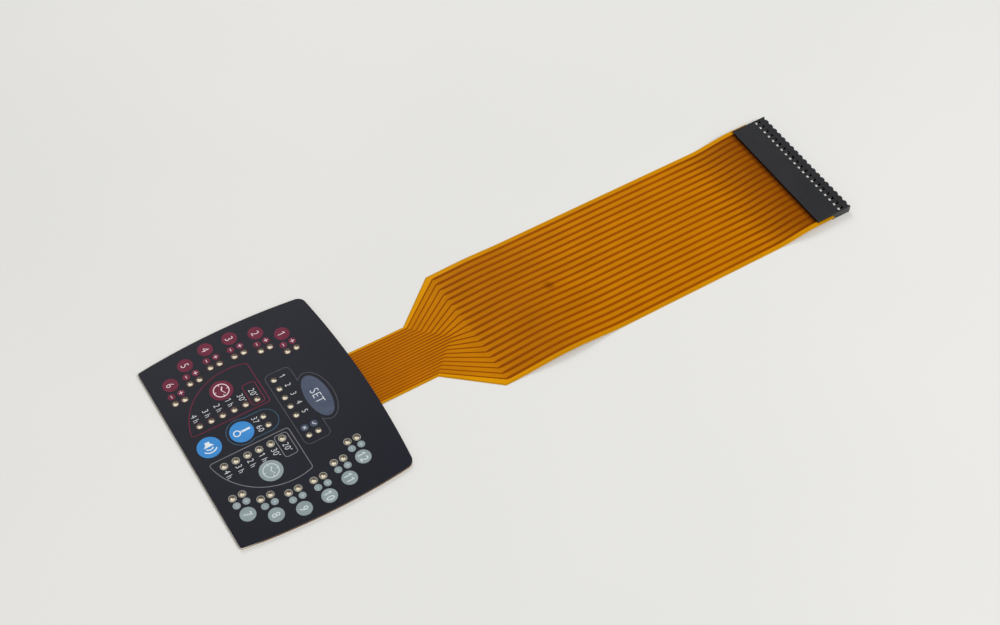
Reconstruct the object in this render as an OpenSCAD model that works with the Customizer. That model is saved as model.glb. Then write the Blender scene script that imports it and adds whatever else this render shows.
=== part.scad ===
// Membrane keypad: a printed overlay over LEDs and snap domes on a flexible circuit,
// whose tail fans out to a crimped connector. It lies on its back. The origin is the middle
// of the panel's rear face, X runs across the panel and Y runs towards the connector.

/* [Panel] */
// Width of the panel at its widest
panel_w = 80.6; // [78:0.1:90]
// Height of the panel, from the bottom edge to the crown of the top edge
panel_h = 62.9; // [61:0.1:72]
// Radius of the bowed top edge
top_edge_r = 310; // [240:5:600]
// Radius of the bowed side edges
side_edge_r = 224; // [180:2:400]
// Distance above the panel's centre where it is widest
side_crown_y = 1.4; // [-4:0.1:4]
// Radius of the top corners
top_corner_r = 3; // [1:0.1:6]
// Radius of the bottom corners
bottom_corner_r = 0.8; // [0.4:0.1:4]

/* [Layers] */
// Thickness of the rear adhesive
rear_adhesive_t = 0.15; // [0.05:0.01:0.4]
// Thickness of the flexible circuit's base film
flex_t = 0.12; // [0.05:0.01:0.2]
// Thickness of the copper
copper_t = 0.04; // [0.02:0.005:0.1]
// Thickness of the coverlay over the copper
coverlay_t = 0.06; // [0.03:0.01:0.15]
// Gap between the LEDs and the adhesive over the spacer
led_gap = 0.05; // [0.02:0.01:0.3]
// Thickness of the adhesive under the overlay
overlay_adhesive_t = 0.05; // [0.02:0.01:0.15]
// Thickness of the overlay film
overlay_t = 0.2; // [0.1:0.01:0.4]
// Thickness of the printed colour fields
print_t = 0.03; // [0.01:0.005:0.06]

/* [Zone keys] */
// Radius of the arc that the zone keys follow
zone_ring_r = 31.2; // [30:0.1:34]
// Distance of each arc's centre from the panel's middle line
zone_ring_x = 4.5; // [2:0.1:5]
// Height of the arc's centre
zone_mid_y = -3.93; // [-5:0.01:-3]
// Angle from one zone key to the next
zone_angle = 16.2; // [15:0.1:17]
// Radius of a zone key's disc
zone_key_r = 2.6; // [2:0.05:2.9]
// Distance from a zone key to its plus and minus discs
zone_sign_dx = 4.45; // [4.3:0.05:5]
// Distance from a zone key to its LEDs
zone_led_dx = 7.45; // [7.2:0.05:8]
// Radius of the plus and minus discs
sign_r = 1.25; // [0.8:0.05:1.4]
// Distance between a plus disc and its minus disc
sign_pitch = 3.34; // [3.1:0.02:3.6]

/* [Timer keys] */
// Distance of each timer key from the middle line
timer_key_x = 17.83; // [16:0.01:18.5]
// Height of the timer keys
timer_key_y = -10.96; // [-13:0.01:-9]
// Radius of a timer key's disc
timer_key_r = 3.9; // [3:0.1:4.2]
// Distance of the timer LEDs from the middle line
timer_led_x = 8.85; // [8.75:0.01:9.2]
// Height of the first timer LED
timer_led_y = -2.47; // [-2.8:0.01:-2.2]
// Distance between timer LEDs
timer_led_pitch = 4.09; // [3.6:0.01:4.2]

/* [Middle keys] */
// Radius of the temperature and sound discs
blue_key_r = 4; // [3:0.1:4.4]
// Height of the temperature key
temperature_key_y = -12.4; // [-13:0.1:-12]
// Height of the sound key
sound_key_y = -23.8; // [-25:0.1:-23]
// Distance of the temperature LEDs from the middle line
temperature_led_x = 1.87; // [1.5:0.01:2.6]
// Height of the temperature LEDs
temperature_led_y = -3.8; // [-5:0.1:-2.5]
// Width of the program key's oval
program_key_w = 17.6; // [14:0.1:18]
// Height of the program key's oval
program_key_h = 8; // [6:0.1:8.6]
// Height of the program key's centre
program_key_y = 14.95; // [14:0.05:16]
// Place of the first program LED across the panel
program_led_x = -12.7; // [-13.4:0.1:-12]
// Distance between program LEDs
program_led_pitch = 3.97; // [3.6:0.01:4.2]
// Height of the program LEDs
program_led_y = 5.5; // [5:0.1:6]
// Place of the confirm discs across the panel
confirm_sign_x = 9; // [8:0.1:9.4]
// Place of the confirm LEDs across the panel
confirm_led_x = 12.1; // [11.8:0.1:13]

/* [Printed frames] */
// Width of the printed lines
line_w = 0.25; // [0.15:0.05:0.5]
// Distance of the timer frames' straight side from the middle line
frame_x = 6; // [5.6:0.05:6.3]
// Height of the timer frames' top line
frame_top_y = 1; // [0.6:0.05:1.6]
// Radius of the timer frames' curved side
frame_r = 21.3; // [20.8:0.1:21.8]
// Distance of the curved side's centre from the middle line
frame_centre_x = 3.2; // [2.8:0.1:3.6]
// Height of the curved side's centre
frame_centre_y = -5.8; // [-6.2:0.1:-5.4]
// Corner radius of the timer frames
frame_corner_r = 1; // [0.5:0.1:2]
// Width of the small box round the first timer LED
first_box_w = 8.85; // [6:0.05:10]
// Height of that box
first_box_h = 4.5; // [3.4:0.05:4.9]
// Distance from that box's inner side to its LED
first_box_dx = 1.75; // [1.65:0.05:2]
// Half the width of the temperature outline's neck
keyhole_half_w = 4.4; // [4.1:0.1:4.6]
// Height of the top of the temperature outline
keyhole_top_y = 0.35; // [0:0.05:1]
// Gap between the temperature disc and its outline
keyhole_gap = 1; // [0.8:0.05:1.1]
// Half the width of the program box
program_box_half_w = 15.4; // [14.6:0.1:16]
// Height of the program box's bottom line
program_low_y = 3; // [2:0.1:3.4]
// Height of the program box's top line
program_high_y = 12.1; // [11:0.1:13]
// Corner radius of the program box
program_corner_r = 1.9; // [0.5:0.1:3]
// Gap between the program oval and its outline
program_gap = 1.33; // [1:0.01:1.6]

/* [Windows, LEDs and domes] */
// Radius of an LED window
window_r = 1.1; // [1:0.01:1.2]
// Gap between a window and the overlay round it
window_clearance = 0.02; // [0.01:0.01:0.05]
// Width of the rim that a window rests on
window_seat = 0.15; // [0.1:0.01:0.3]
// Width of the printed ring round a window
ring_w = 0.22; // [0.1:0.01:0.25]
// Length of an LED
led_l = 2; // [1:0.05:2]
// Width of an LED
led_w = 1.25; // [0.5:0.05:1.3]
// Height of an LED
led_h = 0.55; // [0.5:0.01:1]
// Radius of an LED's pocket
led_pocket_r = 1.25; // [1.2:0.01:1.4]
// Diameter of a snap dome
dome_d = 5; // [4:0.1:5.4]
// Rise of a snap dome
dome_rise = 0.3; // [0.2:0.01:0.42]
// Thickness of a snap dome
dome_t = 0.06; // [0.04:0.01:0.1]
// Gap round a dome in its pocket
dome_clearance = 0.25; // [0.2:0.01:0.4]

/* [Tail] */
// Distance of the tail's axis from the panel's middle line
tail_x = 1.5; // [-3:0.1:3]
// Length of the neck, from the panel's top edge to the taper
neck_l = 21.15; // [16:0.05:40]
// Film beside the outer traces in the neck
neck_margin = 0.86; // [0.7:0.02:3]
// Length of the taper
taper_l = 17.2; // [15:0.1:24]
// Length of the wide part, from the taper to the housing
tail_l = 129.35; // [110:0.05:200]
// How far the film stands out past each end of the housing
film_overhang = 0.9; // [0.2:0.05:1.5]
// Width of a trace in the neck and the taper
trace_w = 0.5; // [0.2:0.05:0.8]
// Width of a trace in the wide tail
wide_trace_w = 0.95; // [0.3:0.05:1.2]
// Distance between traces in the neck
neck_pitch = 1.12; // [1:0.01:1.4]
// How much later each trace bends than its outer neighbour
fan_pitch = 1.18; // [0.8:0.02:1.3]
// How far the first bends lie past the neck
fan_offset = 0.8; // [0.4:0.1:1.5]
// How far the last bends lie past the taper
fan_end_offset = 1.3; // [0.6:0.1:1.6]
// How far the coverlay stays back from the film's edges
coverlay_margin = 0.5; // [0.3:0.05:0.6]
// Distance from the taper to where the tail lifts off its resting plane
wave_gap = 0; // [0:1:20]
// Length of the lifted stretch
wave_l = 46; // [40:1:80]
// Height of the lifted stretch
wave_h = 1.4; // [0.2:0.05:2]
// Length over which the neck comes down from the panel
drop_l = 12; // [8:0.5:18]
// Length over which the tail rises into the housing
rise_l = 18; // [12:0.5:24]

/* [Connector] */
// Number of contacts
pins = 20; // [10:1:22]
// Distance between contacts
pin_pitch = 2.54; // [2.5:0.01:3]
// Length of the housing
housing_l = 14.4; // [14:0.1:18]
// Height of the housing
housing_h = 3; // [2.9:0.05:4]
// Height at which the film lies in the housing
film_entry_z = 2; // [1.5:0.02:2.04]
// How far the film reaches into the housing
film_depth = 6.8; // [5:0.1:6.9]
// How far the housing stays back at its ends under the film
end_step = 1.2; // [0.6:0.1:2]
// Wall of the housing round the contacts
housing_wall = 0.55; // [0.45:0.01:0.6]
// Wall at the mating face
front_wall = 0.9; // [0.7:0.05:1.2]
// Width of the rib between two contacts
rib_w = 0.64; // [0.5:0.02:0.7]
// Side of the square pin entries
entry_w = 1; // [0.8:0.05:1.2]
// Radius of the scallops in the mating edge
scallop_r = 0.75; // [0.6:0.01:0.9]
// Depth of the scallops
scallop_depth = 0.5; // [0.3:0.05:0.6]
// Width of the lance windows in the housing's top
lance_w = 1.2; // [0.8:0.05:1.4]
// Length of the lance windows
lance_l = 2.2; // [1.6:0.05:2.6]
// Distance from the mating face to the middle of the lance windows
lance_dy = 3.75; // [3.4:0.05:4.4]
// Thickness of the contacts' sheet
contact_t = 0.2; // [0.12:0.01:0.22]
// Width of a contact's crimp tongue
tongue_w = 1.3; // [0.8:0.05:1.5]
// Gap round a contact in its cavity
contact_clearance = 0.05; // [0.03:0.01:0.1]

/* [Hidden] */
$fn = 48;
fine = 240;           // segments of a large circle that only a short arc is kept of
over = 1;             // how far a cutter runs past what it cuts
merge_gap = 0.001;    // distance under which two points count as one
corner_steps = 8;     // steps along a corner's arc
edge_steps = 24;      // steps along a long edge's arc
drop_steps = 6;       // steps of the film down from the panel, along its wave and up to the housing
wave_steps = 14;
rise_steps = 10;
sides = [-1, 1];
pad_rim = 0.15;       // how far a dome pad stands out past its dome
pad_band = 0.75;      // width of a dome pad's ring
pad_centre_r = 0.8;
led_base_h = 0.2;     // height of an LED's base under its lens
led_lens_share = 0.7; // share of an LED's length that the lens covers
timer_leds = 6;
program_leds_n = 5;
zones = 6;            // zone keys on each side
trace_start = 3;      // how far the traces reach under the panel
widening_l = 1.5;     // length over which a trace gets wider
tongue_setback = 0.8; // distance from the housing's rear face to a tongue's end
coverlay_reach = 0.4; // how far the coverlay reaches into the housing
ramp_l = 1.5;         // length of the ramp from a tongue to its box
rise_end_gap = 0.5;   // level stretch of the film behind the housing

// Levels of the layers, from the back up
flex_z = rear_adhesive_t;
copper_z = flex_z + flex_t;
coverlay_z = copper_z + copper_t;
spacer_z = coverlay_z + coverlay_t;
overlay_adhesive_z = copper_z + led_h + led_gap;
spacer_t = overlay_adhesive_z - spacer_z;
overlay_z = overlay_adhesive_z + overlay_adhesive_t;
print_z = overlay_z + overlay_t;

// Places along the tail and the connector
panel_top_y = panel_h / 2;
neck_end_y = panel_top_y + neck_l;
taper_end_y = neck_end_y + taper_l;
wave_y = taper_end_y + wave_gap;
housing_y = taper_end_y + tail_l;
neck_w = (pins - 1) * neck_pitch + trace_w + 2 * neck_margin;
housing_w = pins * pin_pitch;
tail_w = housing_w + 2 * film_overhang;
film_end_y = housing_y + film_depth;
housing_end_y = housing_y + housing_l;
rise_y = housing_y - rise_end_gap - rise_l;
slot_h = flex_t + copper_t + contact_t + contact_clearance;
cavity_w = pin_pitch - rib_w;
cavity_h = housing_h - 2 * housing_wall;
cavity_end_y = housing_end_y - front_wall;
lance_y = housing_end_y - lance_dy;

function pin_x(i) = tail_x + (i - (pins - 1) / 2) * pin_pitch;
function neck_x(i) = tail_x + (i - (pins - 1) / 2) * neck_pitch;

// Places of the keys and LEDs
function zone_turn(i) = ((zones - 1) / 2 - i) * zone_angle;
function zone_x(i) = zone_ring_x + zone_ring_r * cos(zone_turn(i));
function zone_y(i) = zone_mid_y + zone_ring_r * sin(zone_turn(i));
function zone_keys(side) = [for (i = [0:zones - 1]) [side * zone_x(i), zone_y(i)]];
function beside_zones(side, dx) =
    [for (i = [0:zones - 1], s = sides) [side * (zone_x(i) - dx), zone_y(i) + s * sign_pitch / 2]];
function timer_led_places(side) =
    [for (i = [0:timer_leds - 1]) [side * timer_led_x, timer_led_y - i * timer_led_pitch]];
temperature_led_places = [for (s = sides) [s * temperature_led_x, temperature_led_y]];
program_led_places =
    [for (i = [0:program_leds_n - 1]) [program_led_x + i * program_led_pitch, program_led_y]];
confirm_led_places = [for (i = [0:1]) [confirm_led_x, program_led_y + i * sign_pitch]];
confirm_signs = [for (i = [0:1]) [confirm_sign_x, program_led_y + i * sign_pitch]];
all_leds = concat(beside_zones(-1, zone_led_dx), beside_zones(1, zone_led_dx), timer_led_places(-1),
    timer_led_places(1), temperature_led_places, program_led_places, confirm_led_places);

left_zones = [for (i = [0:zones - 1]) [str("zone_", i + 1), zone_keys(-1)[i]]];
right_zones = [for (i = [0:zones - 1]) [str("zone_", 2 * zones - i), zone_keys(1)[i]]];
keys = concat(left_zones, right_zones, [
    ["timer_left", [-timer_key_x, timer_key_y]],
    ["timer_right", [timer_key_x, timer_key_y]],
    ["temperature", [0, temperature_key_y]],
    ["sound", [0, sound_key_y]],
    ["program", [0, program_key_y]],
]);
function contact_name(i) = str("contact_", i < 9 ? "0" : "", i + 1);

// Outlines: arcs joined into closed paths that run anticlockwise
function arc(c, r, a0, a1, n) =
    [for (i = [0:n]) let (a = a0 + (a1 - a0) * i / n) c + r * [cos(a), sin(a)]];
function angle_from(c, p) = atan2(p[1] - c[1], p[0] - c[0]);
function without_repeats(p) =
    [for (i = [0:len(p) - 1]) if (norm(p[i] - p[(i + len(p) - 1) % len(p)]) > merge_gap) p[i]];
function mirrored(p) = [for (i = [len(p) - 1:-1:0]) [-p[i][0], p[i][1]]];
// The point to the left of the way from c1 to c2 at r1 from the first and r2 from the second
function crossing(c1, r1, c2, r2) =
    let (d = c2 - c1, l = norm(d), a = (r1 * r1 - r2 * r2 + l * l) / (2 * l), h = sqrt(r1 * r1 - a * a))
    c1 + (a * d + h * [-d[1], d[0]]) / l;

// A closed path moved outwards by d
function outward(a, b) = let (e = b - a) [e[1], -e[0]] / norm(e);
function grown(p, d) = [for (i = [0:len(p) - 1]) let (
        n1 = outward(p[(i + len(p) - 1) % len(p)], p[i]),
        n2 = outward(p[i], p[(i + 1) % len(p)]))
    p[i] + d * (n1 + n2) / (1 + n1 * n2)];

// Outline of the panel
side_c = [panel_w / 2 - side_edge_r, side_crown_y];
top_c = [0, panel_top_y - top_edge_r];
top_corner_c = crossing(side_c, side_edge_r - top_corner_r, top_c, top_edge_r - top_corner_r);
bottom_corner_y = bottom_corner_r - panel_h / 2;
bottom_corner_c = [side_c[0] + sqrt(pow(side_edge_r - bottom_corner_r, 2)
    - pow(bottom_corner_y - side_c[1], 2)), bottom_corner_y];
bottom_turn = angle_from(side_c, bottom_corner_c);
side_turn = angle_from(side_c, top_corner_c);
top_turn = angle_from(top_c, top_corner_c);
panel_right = concat(
    arc(bottom_corner_c, bottom_corner_r, -90, bottom_turn, corner_steps),
    arc(side_c, side_edge_r, bottom_turn, side_turn, edge_steps),
    arc(top_corner_c, top_corner_r, side_turn, top_turn, corner_steps),
    arc(top_c, top_edge_r, top_turn, 90, edge_steps / 2));
panel_outline = without_repeats(concat(panel_right, mirrored(panel_right)));

// Outline of the tail, drawn in by a margin
function tail_outline(margin, start_y, end_y) = let (n = neck_w / 2 - margin, w = tail_w / 2 - margin)
    [[tail_x - n, start_y], [tail_x + n, start_y], [tail_x + n, neck_end_y], [tail_x + w, taper_end_y],
     [tail_x + w, end_y], [tail_x - w, end_y], [tail_x - w, taper_end_y], [tail_x - n, neck_end_y]];

// Outline of a trace, which bends at the neck and again at the wide end of the taper, where it gets wider
function trace_outline(i) = let (
        bend_y = neck_end_y + fan_offset + fan_pitch * min(i, pins - 1 - i),
        corner_y = taper_end_y + fan_end_offset,
        path = [[neck_x(i), panel_top_y - trace_start, trace_w], [neck_x(i), bend_y, trace_w],
                [pin_x(i), corner_y, trace_w], [pin_x(i), corner_y + widening_l, wide_trace_w],
                [pin_x(i), film_end_y, wide_trace_w]])
    concat([for (p = path) [p[0] + p[2] / 2, p[1]]],
           [for (k = [len(path) - 1:-1:0]) [path[k][0] - path[k][2] / 2, path[k][1]]]);

// Outlines of the printed frames, for the right side
frame_c = [frame_centre_x, frame_centre_y];
frame_inner_r = frame_r - frame_corner_r;
frame_low_x = frame_x + frame_corner_r;
frame_low_c = [frame_low_x,
    frame_centre_y - sqrt(pow(frame_inner_r, 2) - pow(frame_low_x - frame_centre_x, 2))];
frame_high_y = frame_top_y - frame_corner_r;
frame_high_c = [
    frame_centre_x + sqrt(pow(frame_inner_r, 2) - pow(frame_high_y - frame_centre_y, 2)), frame_high_y];
frame_low_turn = angle_from(frame_c, frame_low_c);
frame_high_turn = angle_from(frame_c, frame_high_c);
timer_frame = without_repeats(concat(
    arc(frame_low_c, frame_corner_r, -180, frame_low_turn, corner_steps),
    arc(frame_c, frame_r, frame_low_turn, frame_high_turn, edge_steps),
    arc(frame_high_c, frame_corner_r, frame_high_turn, 90, corner_steps),
    arc([frame_low_x, frame_high_y], frame_corner_r, 90, 180, corner_steps)));
function round_box(low, high, r) = concat(
    arc([low[0] + r, low[1] + r], r, 180, 270, corner_steps),
    arc([high[0] - r, low[1] + r], r, 270, 360, corner_steps),
    arc([high[0] - r, high[1] - r], r, 0, 90, corner_steps),
    arc([low[0] + r, high[1] - r], r, 90, 180, corner_steps));
first_box_low = [timer_led_x - first_box_dx, timer_led_y - first_box_h / 2];
timer_box = round_box(first_box_low, first_box_low + [first_box_w, first_box_h], frame_corner_r);
keyhole_r = blue_key_r + keyhole_gap;
keyhole_turn = acos(keyhole_half_w / keyhole_r);
keyhole = concat(
    arc([0, temperature_key_y], keyhole_r, 180 - keyhole_turn, 360 + keyhole_turn, 2 * edge_steps),
    arc([0, keyhole_top_y - keyhole_half_w], keyhole_half_w, 0, 180, edge_steps));
function oval(w, h, y, a0, a1, n) =
    [for (i = [0:n]) let (a = a0 + (a1 - a0) * i / n) [w / 2 * cos(a), y + h / 2 * sin(a)]];
outer_oval = [program_key_w, program_key_h] + 2 * program_gap * [1, 1];
oval_turn = asin((program_high_y - program_key_y) / (outer_oval[1] / 2));
program_half = program_box_half_w - program_corner_r;
program_frame = concat(
    arc([-program_half, program_low_y + program_corner_r], program_corner_r, 180, 270, corner_steps),
    arc([program_half, program_low_y + program_corner_r], program_corner_r, 270, 360, corner_steps),
    arc([program_half, program_high_y - program_corner_r], program_corner_r, 0, 90, corner_steps),
    oval(outer_oval[0], outer_oval[1], program_key_y, oval_turn, 180 - oval_turn, 2 * edge_steps),
    arc([-program_half, program_high_y - program_corner_r], program_corner_r, 90, 180, corner_steps));

// Height of the flexible circuit's underside along its length
function clamped(t) = min(max(t, 0), 1);
function eased(t) = let (u = clamped(t)) u * u * (3 - 2 * u);
function film_z(y) = flex_z * (1 - eased((y - panel_top_y) / drop_l))
    + wave_h * pow(sin(180 * clamped((y - wave_y) / wave_l)), 2)
    + film_entry_z * eased((y - rise_y) / rise_l);
function steps(start, l, n) = [for (i = [0:n]) start + l * i / n];
film_ys = concat([-panel_h], steps(panel_top_y, drop_l, drop_steps), steps(wave_y, wave_l, wave_steps),
    steps(rise_y, rise_l, rise_steps), [film_end_y + over]);

module panel_layer(z, t) {
    translate([0, 0, z]) linear_extrude(t) difference() {
        polygon(panel_outline);
        children();
    }
}

module discs(places, r) {
    for (p = places) translate(p) circle(r);
}

module line(path) {
    difference() {
        polygon(grown(path, line_w / 2));
        polygon(grown(path, -line_w / 2));
    }
}

module rings(places) {
    difference() {
        discs(places, window_r + ring_w);
        discs(places, window_r);
    }
}

module printed() {
    translate([0, 0, print_z]) linear_extrude(print_t) children();
}

// A layer of the flexible circuit, cut to the outline of its children
module film_layer(lift, t) {
    section = concat([for (y = film_ys) [y, film_z(y) + lift]],
        [for (i = [len(film_ys) - 1:-1:0]) [film_ys[i], film_z(film_ys[i]) + lift + t]]);
    intersection() {
        translate([0, 0, -over]) linear_extrude(film_entry_z + wave_h + 2 * over) children();
        rotate([90, 0, 90]) translate([0, 0, -panel_w]) linear_extrude(2 * panel_w) polygon(section);
    }
}

module dome_pockets() {
    for (k = keys) translate(k[1]) circle(dome_d / 2 + dome_clearance);
}

module led_pockets() {
    discs(all_leds, led_pocket_r);
}

// Discs, window rings and frames on one side of the panel
module side_print(side) {
    printed() {
        discs(zone_keys(side), zone_key_r);
        discs(beside_zones(side, zone_sign_dx), sign_r);
        translate([side * timer_key_x, timer_key_y]) circle(timer_key_r);
        rings(concat(beside_zones(side, zone_led_dx), timer_led_places(side)));
        mirror([side < 0 ? 1 : 0, 0]) {
            line(timer_frame);
            line(timer_box);
        }
    }
}

module overlay_film() {
    color([0.17, 0.18, 0.2]) panel_layer(overlay_z, overlay_t) discs(all_leds, window_r);
}

module led_windows() {
    color([0.9, 0.9, 0.88, 0.4]) translate([0, 0, overlay_z]) linear_extrude(overlay_t)
        discs(all_leds, window_r - window_clearance);
}

module red_print() {
    color([0.5, 0.12, 0.24]) side_print(-1);
}

module grey_print() {
    color([0.58, 0.66, 0.67]) side_print(1);
}

module blue_print() {
    color([0.2, 0.53, 0.85]) printed() {
        discs([[0, temperature_key_y], [0, sound_key_y]], blue_key_r);
        line(keyhole);
    }
}

module slate_print() {
    color([0.3, 0.33, 0.43]) printed() {
        polygon(without_repeats(oval(program_key_w, program_key_h, program_key_y, 0, 360, 3 * edge_steps)));
        discs(confirm_signs, sign_r);
        line(program_frame);
    }
}

module overlay_adhesive() {
    color([0.8, 0.8, 0.75]) panel_layer(overlay_adhesive_z, overlay_adhesive_t) {
        discs(all_leds, window_r - window_seat);
        dome_pockets();
    }
}

module spacer() {
    color([0.42, 0.3, 0.21]) panel_layer(spacer_z, spacer_t) {
        led_pockets();
        dome_pockets();
    }
}

module flex_film() {
    color([0.75, 0.5, 0.05]) film_layer(0, flex_t) {
        polygon(panel_outline);
        polygon(tail_outline(0, 0, film_end_y));
    }
}

module copper_traces() {
    color([0.5, 0.28, 0.04]) film_layer(flex_t, copper_t)
        for (i = [0:pins - 1]) polygon(trace_outline(i));
}

module coverlay() {
    color([0.72, 0.43, 0.04]) film_layer(flex_t + copper_t, coverlay_t) {
        difference() {
            polygon(panel_outline);
            led_pockets();
            dome_pockets();
        }
        polygon(tail_outline(coverlay_margin, panel_top_y - trace_start, housing_y + coverlay_reach));
    }
}

module dome_pads() {
    color([0.8, 0.55, 0.3]) translate([0, 0, copper_z]) linear_extrude(copper_t)
        for (k = keys) translate(k[1]) {
            difference() {
                circle(dome_d / 2 + pad_rim);
                circle(dome_d / 2 + pad_rim - pad_band);
            }
            circle(pad_centre_r);
        }
}

module rear_adhesive() {
    color([0.85, 0.82, 0.72]) panel_layer(0, rear_adhesive_t);
}

module leds(places) {
    color([0.93, 0.87, 0.7]) for (p = places) translate([p[0], p[1], copper_z]) {
        translate([-led_w / 2, -led_l / 2, 0]) cube([led_w, led_l, led_base_h]);
        translate([-led_w / 2, -led_l * led_lens_share / 2, 0]) cube([led_w, led_l * led_lens_share, led_h]);
    }
}

// A shallow spherical cap that rests on its rim
module dome(place) {
    cap_r = (pow(dome_d / 2, 2) + pow(dome_rise, 2)) / (2 * dome_rise);
    color([0.8, 0.81, 0.83]) translate([place[0], place[1], coverlay_z]) rotate_extrude() intersection() {
        translate([0, dome_rise - cap_r]) difference() {
            circle(cap_r, $fn = fine);
            circle(cap_r - dome_t, $fn = fine);
        }
        square([dome_d, dome_rise + over]);
    }
}

module connector_housing() {
    slot_l = film_depth + contact_clearance + over;
    color([0.2, 0.21, 0.22]) difference() {
        translate([tail_x - housing_w / 2, housing_y, 0]) cube([housing_w, housing_l, housing_h]);
        translate([tail_x - tail_w / 2 - over, housing_y - over, film_entry_z])
            cube([tail_w + 2 * over, slot_l, slot_h]);
        for (s = sides) translate([tail_x + s * housing_w / 2 - end_step, housing_y - over, -over])
            cube([2 * end_step, slot_l, film_entry_z + over + slot_h / 2]);
        for (i = [0:pins - 1]) translate([pin_x(i), 0, 0]) {
            translate([-cavity_w / 2, film_end_y, housing_wall])
                cube([cavity_w, cavity_end_y - film_end_y, cavity_h]);
            translate([-entry_w / 2, cavity_end_y - over, (housing_h - entry_w) / 2])
                cube([entry_w, front_wall + 2 * over, entry_w]);
            translate([-lance_w / 2, lance_y - lance_l / 2, housing_h / 2])
                cube([lance_w, lance_l, housing_h]);
            translate([0, housing_end_y + scallop_r - scallop_depth, -over])
                cylinder(r = scallop_r, h = housing_h + 2 * over);
        }
    }
}

// A contact: a tongue on its trace, a ramp, and a box whose roof ends under the lance window
module contact(i) {
    box_w = cavity_w - 2 * contact_clearance;
    box_h = cavity_h - 2 * contact_clearance;
    box_z = housing_wall + contact_clearance;
    box_end_y = cavity_end_y - contact_clearance;
    tongue_z = film_entry_z + flex_t + copper_t;
    ramp_y = film_end_y + contact_clearance;
    box_y = ramp_y + ramp_l;
    under = [[housing_y + tongue_setback, tongue_z], [ramp_y, tongue_z], [box_y, box_z], [box_end_y, box_z]];
    over_line = [for (k = [len(under) - 1:-1:0]) under[k] + [0, contact_t]];
    color([0.8, 0.79, 0.76]) translate([pin_x(i), 0, 0]) {
        rotate([90, 0, 90]) translate([0, 0, -tongue_w / 2]) linear_extrude(tongue_w)
            polygon(concat(under, over_line));
        for (s = sides) translate([s * (box_w - contact_t) / 2 - contact_t / 2, box_y, box_z])
            cube([contact_t, box_end_y - box_y, box_h]);
        translate([-box_w / 2, box_y, box_z]) cube([box_w, box_end_y - box_y, contact_t]);
        translate([-box_w / 2, box_y, box_z + box_h - contact_t]) cube([box_w, lance_y - box_y, contact_t]);
    }
}

overlay_film();
led_windows();
red_print();
grey_print();
blue_print();
slate_print();
overlay_adhesive();
spacer();
flex_film();
copper_traces();
coverlay();
dome_pads();
rear_adhesive();
leds(beside_zones(-1, zone_led_dx));  // zone_leds_left
leds(beside_zones(1, zone_led_dx));  // zone_leds_right
leds(timer_led_places(-1));  // timer_leds_left
leds(timer_led_places(1));  // timer_leds_right
leds(temperature_led_places);  // temperature_leds
leds(program_led_places);  // program_leds
leds(confirm_led_places);  // confirm_leds
connector_housing();
for (k = keys) dome(k[1]);
for (i = [0:pins - 1]) contact(i);
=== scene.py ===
import math

import bpy
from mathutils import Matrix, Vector


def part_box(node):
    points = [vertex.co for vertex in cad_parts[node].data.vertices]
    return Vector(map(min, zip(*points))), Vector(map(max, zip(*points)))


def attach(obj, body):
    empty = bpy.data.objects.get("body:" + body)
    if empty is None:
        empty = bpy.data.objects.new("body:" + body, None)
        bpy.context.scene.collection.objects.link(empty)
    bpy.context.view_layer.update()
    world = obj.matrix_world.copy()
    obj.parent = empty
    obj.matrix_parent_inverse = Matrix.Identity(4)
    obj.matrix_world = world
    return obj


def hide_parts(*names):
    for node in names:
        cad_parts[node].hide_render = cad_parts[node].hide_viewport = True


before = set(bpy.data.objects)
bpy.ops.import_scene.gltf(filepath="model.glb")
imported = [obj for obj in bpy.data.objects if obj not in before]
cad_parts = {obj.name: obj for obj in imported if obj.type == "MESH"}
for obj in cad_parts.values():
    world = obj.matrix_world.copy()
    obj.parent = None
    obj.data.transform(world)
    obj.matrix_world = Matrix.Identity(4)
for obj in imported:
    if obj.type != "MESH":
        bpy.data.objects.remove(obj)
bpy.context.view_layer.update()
mm = 0.001                                  # sizes below are in millimetres, Blender's are in metres
mergeGap = 0.0005                           # corners nearer than this are one
facesUp = 0.5                               # a face looks up if its normal rises more than this
rowDigits = 5                               # places that agree to 0.01 mm are in one row
noiseSpan = (0.3, 0.7)                      # most of Blender's noise lies between these
print("frame loaded,", len(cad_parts), "nodes")


# Selecting and shaping

def pick(*pieces):                          # these pieces alone are selected
    if bpy.context.mode != "OBJECT":
        bpy.ops.object.mode_set(mode="OBJECT")
    bpy.ops.object.select_all(action="DESELECT")
    for piece in pieces:
        piece.select_set(True)
    bpy.context.view_layer.objects.active = pieces[0]


def openMesh(piece):                        # into edit mode with all of the mesh selected
    pick(piece)
    bpy.ops.object.mode_set(mode="EDIT")
    bpy.ops.mesh.select_all(action="SELECT")


def closeMesh():
    bpy.ops.object.mode_set(mode="OBJECT")


def openFaces(piece, wanted):               # into edit mode with the faces that pass the test
    openMesh(piece)
    bpy.ops.mesh.select_mode(type="FACE")
    bpy.ops.mesh.select_all(action="DESELECT")
    closeMesh()
    for face in piece.data.polygons:
        face.select = wanted(face.center, face.normal)
    bpy.ops.object.mode_set(mode="EDIT")


def applyPlace(piece):
    pick(piece)
    bpy.ops.object.transform_apply(location=True, rotation=True, scale=True)


def useModifier(piece, kind, **settings):
    pick(piece)
    bpy.ops.object.modifier_add(type=kind)
    modifier = piece.modifiers[-1]
    for name, value in settings.items():
        setattr(modifier, name, value)
    bpy.ops.object.modifier_apply(modifier=modifier.name)


def joinPieces(pieces, name):
    pick(*pieces)
    if len(pieces) > 1:
        bpy.ops.object.join()
    joined = bpy.context.object
    joined.name = name
    joined.data.name = name
    return joined


def copyMesh(source, name):
    copy = bpy.data.objects.new(name, source.data.copy())
    bpy.context.collection.objects.link(copy)
    return copy


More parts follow.
